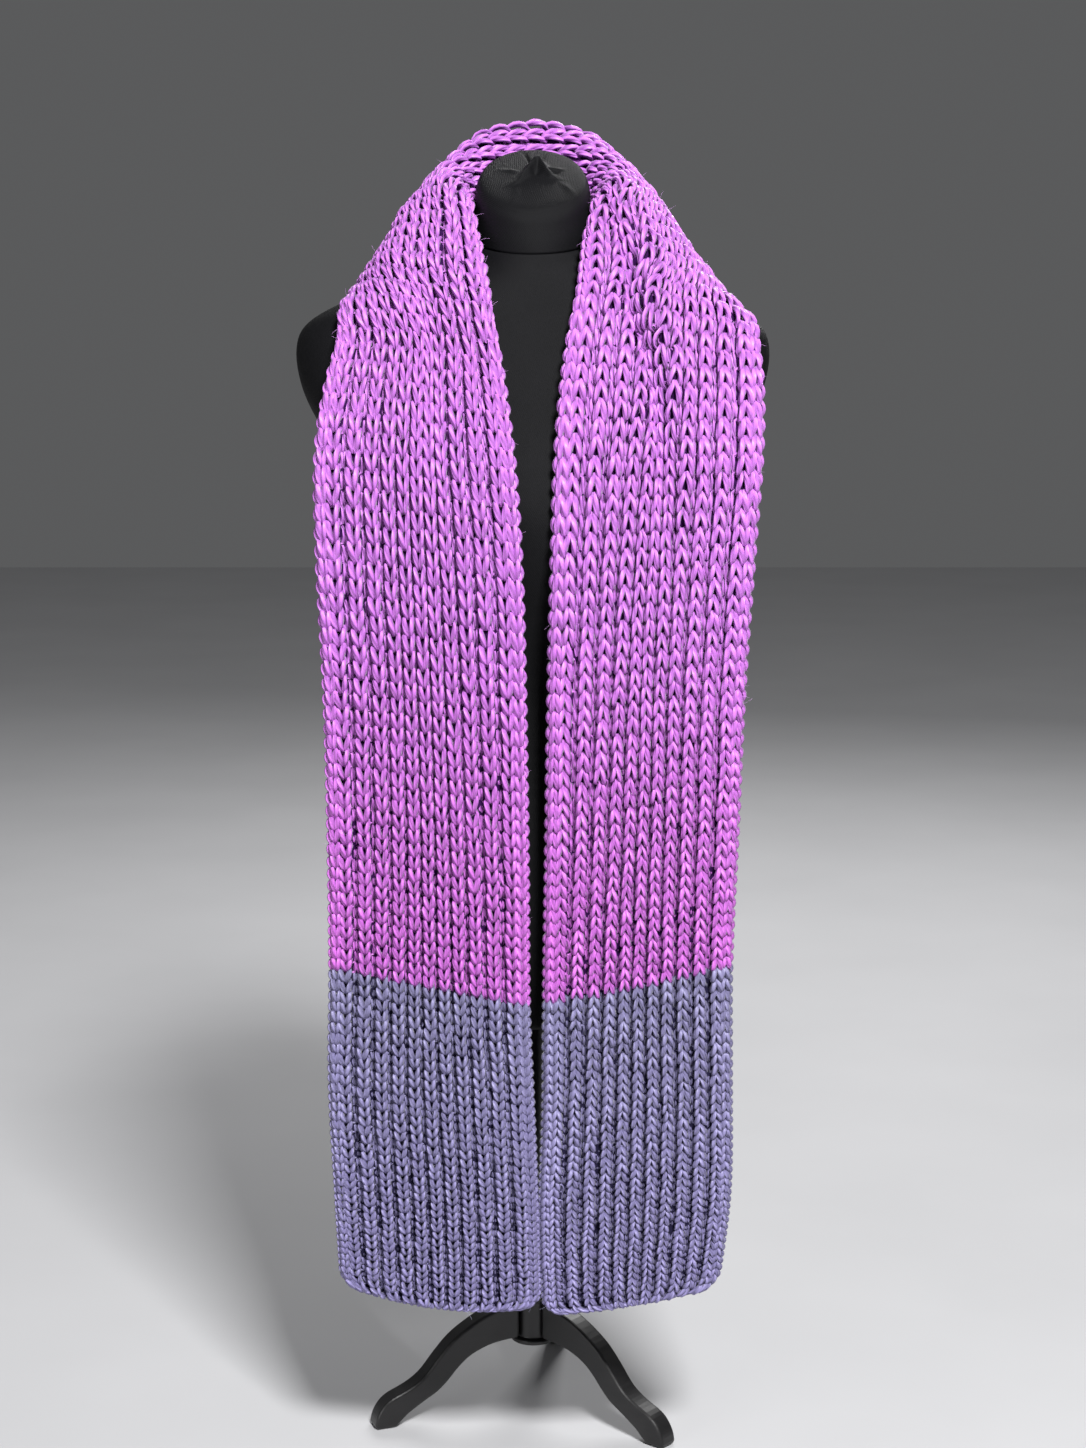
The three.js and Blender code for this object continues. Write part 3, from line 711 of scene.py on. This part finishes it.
def course_paths(first, last):
    """Paths and radii of whole courses: one row of yarn through every wale, knit and purl by turns.

    Where a wale is wide its stitches are wider, and the yarn is thicker by the square root of the room
    that it has. Each stitch differs a little from the next.
    """
    rows = np.arange(first, last)
    middle = row_to_length(rows + 0.5)
    firm = 1 - smooth_step((np.minimum(middle, cloth.length - middle) - FIRM_REACH) / FIRM_FADE)
    chance = np.random.default_rng(STITCH_SEED)
    point_wobble = chance.normal(size=(ROW_COUNT, WALES, STITCH_POINTS, 4))[first:last]
    stitch_wobble = chance.normal(size=(ROW_COUNT, WALES, 1, 4))[first:last]
    wales = np.arange(WALES)
    at_edge = (wales == 0) | (wales == WALES - 1)
    is_purl = (wales % 2 == 0) & ~at_edge
    purl = np.broadcast_to(is_purl, (len(rows), WALES))
    shape = stitch_points(np.broadcast_to(firm[:, None], (len(rows), WALES)), purl)
    shape = shape + point_wobble * POINT_WOBBLE + stitch_wobble * STITCH_WOBBLE
    edge = np.where(at_edge, EDGE_WALE_SHARE, 1.0)
    spread = 1 + openness(middle)[:, None] * np.cos(TAU * wales / (WALES - 1))
    local = cloth.width_at(middle)[:, None] / (WALES - 1) * spread
    pitch = row_to_length(rows + 1.0) - row_to_length(rows + 0.0)
    aside = shape[..., 0] * (edge * (local / DRAWN_WALE) ** 0.4)[..., None]
    lean = cloth.lean(middle[:, None], wale_to_share(wales[None, :], middle[:, None]))
    sideways = aside / local[..., None] + wales[None, :, None]
    upward = shape[..., 1] + rows[:, None, None] - aside * (lean / pitch[:, None])[..., None]
    forward = shape[..., 2]
    from_nape = np.abs(middle - cloth.station_lengths[NAPE_INDEX])
    plump = np.interp(from_nape, [0, NAPE_REACH], [NAPE_PLUMPNESS, 1.0])
    room = np.clip(local / DRAWN_WALE, 0.8, 1.5) * np.clip(pitch / DRAWN_ROW, 0.7, 1)[:, None] ** 0.7
    radius = shape[..., 3] * plump[:, None, None] * room[..., None] ** 0.5
    control = np.stack([sideways, upward, forward, radius], -1).reshape(len(rows), -1, 4)
    control = np.concatenate([control, control[:, -1:] + COURSE_END], 1)
    rings = [PURL_RINGS if is_purl[wale] else KNIT_RINGS for wale in wales]
    at = np.concatenate([wale * STITCH_POINTS + np.array(places) for wale, places in zip(wales, rings)])
    at = np.append(at, WALES * STITCH_POINTS)
    sampled = rows_between(np.moveaxis(control, 1, 0).reshape(control.shape[1], -1), at.astype(float))
    sampled = np.moveaxis(sampled.reshape(len(at), len(rows), 4), 0, 1)
    length = row_to_length(sampled[..., 1])
    path = cloth.at(length, wale_to_share(sampled[..., 0], length), sampled[..., 2])
    above = cloth.at(length, wale_to_share(sampled[..., 0], length), sampled[..., 2] + 1)
    return path, sampled[..., 3], above - path


EDGE_RINGS = 7
EDGE_LIFT = 1.4
HEM_RINGS = 8                    # for each wale
HEM_LIFT = 2.7
HEM_RADIUS = 2.1


def edge_turns(first, last):
    """Short loops at the two edges, where the yarn of one row climbs to the next one."""
    rows = np.arange(first, last)
    t = np.linspace(0, 1, EDGE_RINGS)
    paths = []
    for wale, way in ((0, -1), (WALES - 1, 1)):
        sideways = wale + way * (0.28 + 0.42 * np.sin(np.pi * t))
        length = row_to_length(rows[:, None] - 0.12 + t * 1.1)
        lift = EDGE_LIFT * np.cos(np.pi * t)
        share = wale_to_share(np.broadcast_to(sideways, length.shape), length)
        path = cloth.at(length, share, np.broadcast_to(lift, length.shape))
        above = cloth.at(length, share, np.broadcast_to(lift + 1, length.shape))
        paths.append((path, np.broadcast_to(2.0 + 0.4 * np.sin(np.pi * t), length.shape), above - path))
    return [np.concatenate(parts) for parts in zip(*paths)]


def hem_chain(row):
    """The cast-on or cast-off edge: yarn wound once round the hem for every wale."""
    t = np.linspace(-0.4, WALES - 0.6, WALES * HEM_RINGS)
    upward = row + (0.16 * np.sin(TAU * t) - 0.1) * (1 if row else -1)
    length = row_to_length(upward)
    lift = HEM_LIFT * np.cos(TAU * t)
    share = wale_to_share(t, length)
    path = cloth.at(length, share, lift)
    above = cloth.at(length, share, lift + 1)
    return path[None], np.full((1, len(t)), HEM_RADIUS), (above - path)[None]


# A dark sheet behind the stitches: its colour is painted shade for the gaps between them.
SHADE_SHEET_STEP = 9                    # mm between the wall's rows of points
SHADE_SHEET_DEPTH = 2.2                 # mm from the middle surface back to the wall's own middle
SHADE_SHEET_WAVE = 0.7
SHADE_SHEET_HALF = 0.9                  # half of the wall's thickness
SHADE_SHEET_EDGE_HALF = 0.8


def shade_sheet_wall(name, first, last):
    """A dark sheet behind the stitches, whose colour is painted shade for the gaps between them: a
    closed wavy wall, middle surface - depth + wave, half to each side.

    The wave leans to the front behind the odd wales and to the back behind the even ones.
    """
    start, end = float(ROW_STARTS[first]), float(ROW_STARTS[last])
    rows = int(round((end - start) / SHADE_SHEET_STEP)) + 1
    columns = 2 * (WALES - 1) + 1
    length, wale = np.meshgrid(np.linspace(start, end, rows), np.linspace(0, WALES - 1, columns),
                               indexing="ij")
    share = wale_to_share(wale, length)
    wave = -SHADE_SHEET_DEPTH - SHADE_SHEET_WAVE * np.cos(np.pi * wale)
    half = np.full_like(wave, SHADE_SHEET_HALF)
    half[:, [0, -1]] = SHADE_SHEET_EDGE_HALF
    front = cloth.at(length, share, wave + half)
    back = cloth.at(length, share, wave - half)
    rings = np.concatenate([back, front[:, ::-1]], 1)
    size = 2 * columns
    k = np.arange(columns - 1)
    behind = size - 1 - k
    start_cap = np.stack([k, behind, behind - 1, k + 1], -1)
    end_cap = start_cap[:, ::-1] + (rows - 1) * size
    quads = np.concatenate([ring_quads(rows, size), start_cap, end_cap])
    uv = np.zeros((len(quads), 4, 2))
    uv[..., 0] = (quads % size) / size
    uv[..., 1] = (quads // size) / rows
    return make_mesh(name, AXIS + rings.reshape(-1, 3) * MM, quads, uv=uv)


FUZZ_COUNT = 260                 # fibres on each stretch
FUZZ_SEED = 20                   # of the first stretch, and one more for each after it
FUZZ_LIFT = 4.5                  # mm, the root's height over the middle surface
FUZZ_REACH = (3, 11)             # mm, the shortest and the longest fibre
FUZZ_RADIUS = 0.13
FUZZ_STEPS = 6
FIRST_EDGE_PART = 0.35           # part of the fibres at the first edge
BOTH_EDGES_PART = 0.6            # part of them at either edge


def fuzz(name, first, last, count, seed):
    """Stray fibres: thin bent threads that start on the yarn and bow away from it, mostly at edges."""
    chance = np.random.default_rng(seed)
    row = chance.uniform(first, last, count)
    side = chance.random(count)
    rib = 2 * chance.integers(0, WALES // 2, count) + 1
    wale = np.where(side < FIRST_EDGE_PART, 0, np.where(side < BOTH_EDGES_PART, WALES - 1, rib))
    wale = wale + chance.uniform(-0.3, 0.3, count)
    length = row_to_length(row)
    share = wale_to_share(wale, length)
    root = cloth.at(length, share, np.full(count, FUZZ_LIFT))
    above = unit(cloth.at(length, share, np.full(count, FUZZ_LIFT + 1)) - root)
    way = unit(chance.normal(size=(count, 3)) + above * 0.5)
    bend = chance.normal(size=(count, 3))
    bend = unit(bend - way * (bend * way).sum(-1, keepdims=True))
    reach = chance.uniform(*FUZZ_REACH, count)
    t = np.linspace(0, 1, FUZZ_STEPS)
    path = (root[:, None] + way[:, None] * (reach[:, None] * t)[..., None]
            + bend[:, None] * (reach[:, None] * 0.5 * t ** 2)[..., None])
    radius = np.broadcast_to(FUZZ_RADIUS * (1 - 0.6 * t), (count, FUZZ_STEPS))
    return sweep(name, path, radius, np.broadcast_to(above[:, None], path.shape), 3)


# Dress form and stand

# z, half width, depth to the front and to the back, power of the rounded oval, rise to the back.
TORSO_LEVELS = np.array([
    (387, 140, 86, 97, 2.3, 0),          # underside
    (396, 151, 94, 107, 2.3, 0),         # lower edge
    (430, 164, 102, 117, 2.3, 0),        # lower hip
    (480, 169, 106, 123, 2.25, 0),       # hip
    (560, 160, 104, 112, 2.2, 0),        # high hip
    (630, 134, 96, 92, 2.2, 0),          # below waist
    (690, 122, 92, 82, 2.2, 0),          # waist
    (750, 130, 102, 84, 2.2, 0),         # midriff
    (800, 141, 114, 90, 2.25, 0),        # under bust
    (845, 150, 120, 95, 2.35, 0),        # bust
    (880, 163, 114, 99, 2.5, 0),         # underarm
    (915, 186, 102, 99, 2.7, 0),         # arm cap foot
    (950, 203, 91, 97, 2.9, 0),          # arm cap low
    (985, 208, 80, 92, 3, 0),            # arm cap
    (1008, 197, 72, 84, 2.8, 0),         # shoulder end
    (1028, 160, 65, 75, 2.4, 0.02),      # shoulder
    (1046, 108, 59, 67, 2.15, 0.06),     # neck slope
    (1062, 68, 54, 59, 2, 0.14),         # neck base
    (1078, 52, 51, 53, 2, 0.23),         # neck seam
])
CAP_LEVELS = np.array([
    (1078.3, 51.2, 50.6, 51.4, 2, 0.23),  # seam
    (1092, 51.8, 51, 51, 2, 0.3),         # side
    (1110, 50.9, 50.6, 50.6, 2, 0.45),    # upper
    (1122, 49.8, 50, 50, 2, 0.55),        # rim start
    (1128.2, 47.6, 47.8, 47.8, 2, 0.59),  # rim
    (1132, 43.6, 44, 44, 2, 0.59),        # rim top
    (1134.2, 31, 32, 32, 2, 0.59),        # top
    (1135.6, 14.5, 15.5, 15.5, 2, 0.59),  # crown
    (1136, 0.6, 0.6, 0.6, 2, 0.59),       # peak
])
# Creases of the gathered cover on the neck's top: points (x, y, height) in mm, then the half width
# on the side to the front and on the side to the back. The first runs over the pinched peak.
CAP_CREASES = (
    (((-21, -16, 0.3), (-13, -11.5, 1.6), (-8, -5, 2.8), (-4, 1, 4.0), (-1, 7, 5.4), (2.5, 12, 7.0),
      (5.5, 12, 6.8), (8.5, 8, 5.0), (11.5, 2, 3.6), (15.6, -4, 2.2), (22, -7, 0.5)), 2.2, 4.6),
    (((10, 6, 2.0), (14, 4.5, 2.8), (19, 6, 2.2), (27, 9, 0.3)), 1.6, 2.6),
    (((-2, 14, -1.6), (-4.3, 24, -1.5), (-7, 33, -1.1), (-10, 40, -0.3)), 1.5, 1.1),
    (((5, 17, -1.4), (9, 26, -0.8), (14, 36, -0.2)), 1.4, 1.6),
    (((-9, 2, 0.2), (-19, 6, 0.9), (-32, 10, 0.2)), 1.8, 3.2),
    (((-12, -14, 0.2), (-14, -26, 0.8), (-18, -38, 0.2)), 2.4, 2.4),
    (((20, -8, 0.2), (30, -17, 0.7), (38, -26, 0.2)), 2.6, 3.0),
)


TORSO_SIDES = 96
TORSO_STEPS = 6                  # rings for each level of the table
CAP_SIDES = 160
CAP_SIDE_RINGS = 26
CAP_TOP_RINGS = 50
RIM_LEVEL = 5                    # row of CAP_LEVELS where the top starts
TOP_START = 1121                 # mm, the creases show from here up, and in full TOP_FADE higher
TOP_FADE = 9
CREASE_SCALE = 1.3
PINCH_PLACE = (2.5, 3)
PINCH_DEPTH = 3.2
PINCH_RADIUS = 3.4


def oval_rings(levels, sides):
    """Rings of a rounded oval: x = a·sign(cos)|cos|^(2/n), y = depth·sign(sin)|sin|^(2/n), z + rise·y."""
    angle = TAU * np.arange(sides) / sides
    cos, sin = np.cos(angle), np.sin(angle)
    z, a, front, back, power, rise = (levels[:, k:k + 1] for k in range(6))
    x = a * np.sign(cos) * np.abs(cos) ** (2 / power)
    y = np.where(sin < 0, front, back) * np.sign(sin) * np.abs(sin) ** (2 / power)
    return np.stack([x, y, z + rise * y], -1)


def form_cover():
    """The torso's stretched cover: the level table on a smooth cubic."""
    last = len(TORSO_LEVELS) - 1
    levels = rows_between(TORSO_LEVELS, np.linspace(0, last, TORSO_STEPS * last + 1))
    return closed_stack("form_cover", oval_rings(levels, TORSO_SIDES))


def crease_height(x, y, line, front, back):
    """height · exp(-(distance / half width)²) off a broken line, with a height at each point."""
    best = np.full(x.shape, 1e9)
    height = np.zeros(x.shape)
    behind = np.zeros(x.shape, bool)
    for (x0, y0, h0), (x1, y1, h1) in zip(line[:-1], line[1:]):
        dx, dy = x1 - x0, y1 - y0
        t = np.clip(((x - x0) * dx + (y - y0) * dy) / (dx * dx + dy * dy), 0, 1)
        away_x, away_y = x - x0 - t * dx, y - y0 - t * dy
        distance = np.hypot(away_x, away_y)
        nearer = distance < best
        best = np.where(nearer, distance, best)
        height = np.where(nearer, h0 + (h1 - h0) * t, height)
        behind = np.where(nearer, away_y * dx - away_x * dy > 0, behind)
    return height * np.exp(-(best / np.where(behind, back, front)) ** 2)


def neck_cap():
    """The neck block's cover: its rings, raised and lowered by the creases that run from the pinch."""
    side_places = np.linspace(0, RIM_LEVEL, CAP_SIDE_RINGS)[:-1]
    top_places = np.linspace(RIM_LEVEL, len(CAP_LEVELS) - 1, CAP_TOP_RINGS)
    levels = rows_between(CAP_LEVELS, np.concatenate([side_places, top_places]))
    rings = oval_rings(levels, CAP_SIDES)
    x, y = rings[..., 0], rings[..., 1]
    on_top = smooth_step((levels[:, 0] - TOP_START) / TOP_FADE)[:, None]
    heights = [crease_height(x, y, *crease) for crease in CAP_CREASES]
    creases = np.maximum(np.max(heights, 0), 0) + np.minimum(np.min(heights, 0), 0)
    from_pinch = np.hypot(x - PINCH_PLACE[0], y - PINCH_PLACE[1])
    hollow = PINCH_DEPTH * np.exp(-(from_pinch / PINCH_RADIUS) ** 2)
    rings[..., 2] += (CREASE_SCALE * creases - hollow) * on_top
    return closed_stack("neck_cover", rings)


# Outline of a leg as distance from the axis and height: its top, its foot and its underside.
LEG_TOP = ((17.3, 104), (34, 101), (51, 95.5), (68, 86.5), (83, 76), (96, 62.5), (109, 47),
           (118, 39.5), (129, 33.5), (143, 27.5), (151, 21), (156.5, 12), (158.5, 4))
LEG_FOOT = ((158, 0), (139, 0))
LEG_UNDER = ((134, 4.5), (126, 11.5), (110, 21.5), (98, 28.5), (88, 37.5), (77, 49.5),
             (65, 59), (48, 66), (32, 68.8), (17.3, 69.5))
LEG_TOP_STEPS = 37
LEG_UNDER_STEPS = 28
LEG_THICKNESS = 20
LEG_BEVEL = 2.6
LEG_COUNT = 3
FIRST_LEG_ANGLE = 201            # degrees from +X
# Turned pieces: radius and height, from the bottom up.
HUB_PROFILE = ((0, 63), (18.5, 63), (20.8, 64), (21.3, 65.4), (21.3, 67.2), (20, 68.6), (17.2, 69.2),
               (17, 71), (17, 102.5), (17.3, 104), (18.6, 105.3), (18.9, 107.2), (18.3, 109.4),
               (16.5, 110.5), (0, 110.5))
POLE_PROFILE = ((0, 110.8), (12.5, 110.8), (12.5, 386.7), (0, 386.7))
TURNED_SIDES = 48
TURNED_BEVEL = 0.6
SHARP_ANGLE = 38                 # degrees, sharper edges are bevelled


def turned(name, profile):
    """A turned piece: its profile of radius and height carried round the axis."""
    profile = np.array(profile, float)
    inner = profile[1:-1]
    angle = TAU * np.arange(TURNED_SIDES) / TURNED_SIDES
    x = inner[:, :1] * np.cos(angle)
    y = inner[:, :1] * np.sin(angle)
    return closed_stack(name, np.stack([x, y, np.broadcast_to(inner[:, 1:], x.shape)], -1))


def bevelled(piece, width, segments):
    """Rounds a piece's sharp edges over a width in mm."""
    bevel = piece.modifiers.new("edges", "BEVEL")
    bevel.width = width * MM
    bevel.segments = segments
    bevel.limit_method = "ANGLE"
    bevel.angle_limit = np.radians(SHARP_ANGLE)
    return piece


def leg(name, angle):
    """A leg: its outline on smooth cubics, as a board as thick as LEG_THICKNESS, turned by angle."""
    top = rows_between(np.array(LEG_TOP, float), np.linspace(0, len(LEG_TOP) - 1, LEG_TOP_STEPS))
    under = rows_between(np.array(LEG_UNDER, float), np.linspace(0, len(LEG_UNDER) - 1, LEG_UNDER_STEPS))
    outline = np.concatenate([top, np.array(LEG_FOOT, float), under])[::-1]
    count = len(outline)
    radius, height = outline.T
    half = LEG_THICKNESS / 2
    cos, sin = np.cos(np.radians(angle)), np.sin(np.radians(angle))
    sides = [np.stack([radius * cos - w * sin, radius * sin + w * cos, height], -1) for w in (-half, half)]
    points = AXIS + np.concatenate(sides) * MM
    k = np.arange(count)
    after = (k + 1) % count
    walls = np.stack([k, after, after + count, k + count], -1)
    mesh = bpy.data.meshes.new(name)
    faces = [list(map(int, face)) for face in walls[:, ::-1]] + [k.tolist(), (k[::-1] + count).tolist()]
    mesh.from_pydata(points.tolist(), [], faces)
    mesh.update()
    piece = bpy.data.objects.new(name, mesh)
    bpy.context.scene.collection.objects.link(piece)
    return bevelled(piece, LEG_BEVEL, 3)


# The whole

set_camera()
set_studio()

# The third colour of each yarn is painted shade for its ply grooves and flanks, and a darker tone for
# random patches.
purple = yarn_finish("purple_yarn", colour(204, 122, 222), colour(208, 110, 214), colour(74, 12, 100), 0.62)
slate = yarn_finish("slate_yarn", colour(137, 132, 172), colour(144, 136, 186), colour(40, 32, 70), 0.30)
# Finishes of the dark sheets behind the stitches: painted shade for the gaps between them.
purple_shade_sheet = shade_sheet_finish("purple_shade_sheet", colour(62, 22, 86), colour(26, 8, 40))
slate_shade_sheet = shade_sheet_finish("slate_shade_sheet", colour(46, 42, 72), colour(22, 19, 38))
purple_fuzz = fuzz_finish("purple_fuzz", colour(236, 190, 248), colour(190, 130, 214))
slate_fuzz = fuzz_finish("slate_fuzz", colour(196, 194, 220), colour(140, 138, 176))

neck_first = int(np.searchsorted(ROW_STARTS, cloth.station_lengths[NAPE_INDEX - NECK_STATION]))
neck_last = int(np.searchsorted(ROW_STARTS, cloth.station_lengths[NAPE_INDEX + NECK_STATION]))
# Solid, its first and last rows, its yarn, the finish of its dark sheet of painted shade, its fuzz, and its
# slot.
STRETCHES = (
    ("left_slate", 0, COLOUR_CHANGES[1], slate, slate_shade_sheet, slate_fuzz, "slate_knit"),
    ("left_purple", COLOUR_CHANGES[1], neck_first, purple, purple_shade_sheet, purple_fuzz, "purple_knit"),
    ("neck", neck_first, neck_last, purple, purple_shade_sheet, purple_fuzz, "purple_knit"),
    ("right_purple", neck_last, COLOUR_CHANGES[2], purple, purple_shade_sheet, purple_fuzz, "purple_knit"),
    ("right_slate", COLOUR_CHANGES[2], ROW_COUNT, slate, slate_shade_sheet, slate_fuzz, "slate_knit"),
)

for order, (name, first, last, yarn, shade_sheet, loose, slot) in enumerate(STRETCHES):
    solid = f"scarf_{name}"
    pieces = [dress(sweep(f"stitches_{name}", *course_paths(first, last)), yarn),
              dress(sweep(f"edges_{name}", *edge_turns(first, last)), yarn),
              dress(fuzz(f"fuzz_{name}", first, last, FUZZ_COUNT, FUZZ_SEED + order), loose)]
    if first == 0 or last == ROW_COUNT:
        pieces.append(dress(sweep(f"hem_{name}", *hem_chain(0 if first == 0 else ROW_COUNT)), yarn))
    # The dark sheet behind the stitches, painted shade for the gaps between them.
    wall = dress(shade_sheet_wall(f"core_{name}", first, last), shade_sheet)
    for piece in [wall, *pieces]:
        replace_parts(piece, solid)
    "draped" if name == "neck" else "hung"

jersey = jersey_finish()
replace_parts(dress(form_cover(), jersey), "form_torso")
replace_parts(dress(neck_cap(), jersey), "form_neck_cap", "form_cap_knot")

lacquer = lacquer_finish()
for name, profile in (("hub", HUB_PROFILE), ("pole", POLE_PROFILE)):
    piece = dress(bevelled(turned(name, profile), TURNED_BEVEL, 2), lacquer)
    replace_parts(piece, f"stand_{name}")
for number in range(LEG_COUNT):
    angle = FIRST_LEG_ANGLE + 360 // LEG_COUNT * number
    piece = dress(leg(f"leg_{number + 1}", angle), lacquer)
    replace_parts(piece, f"stand_leg_{number + 1}")

bpy.ops.mesh.primitive_plane_add(size=FLOOR_SIDE, location=(0, 0, -FLOOR_DROP))
floor = bpy.context.object
floor.name = "floor"
floor.data.materials.append(floor_finish())
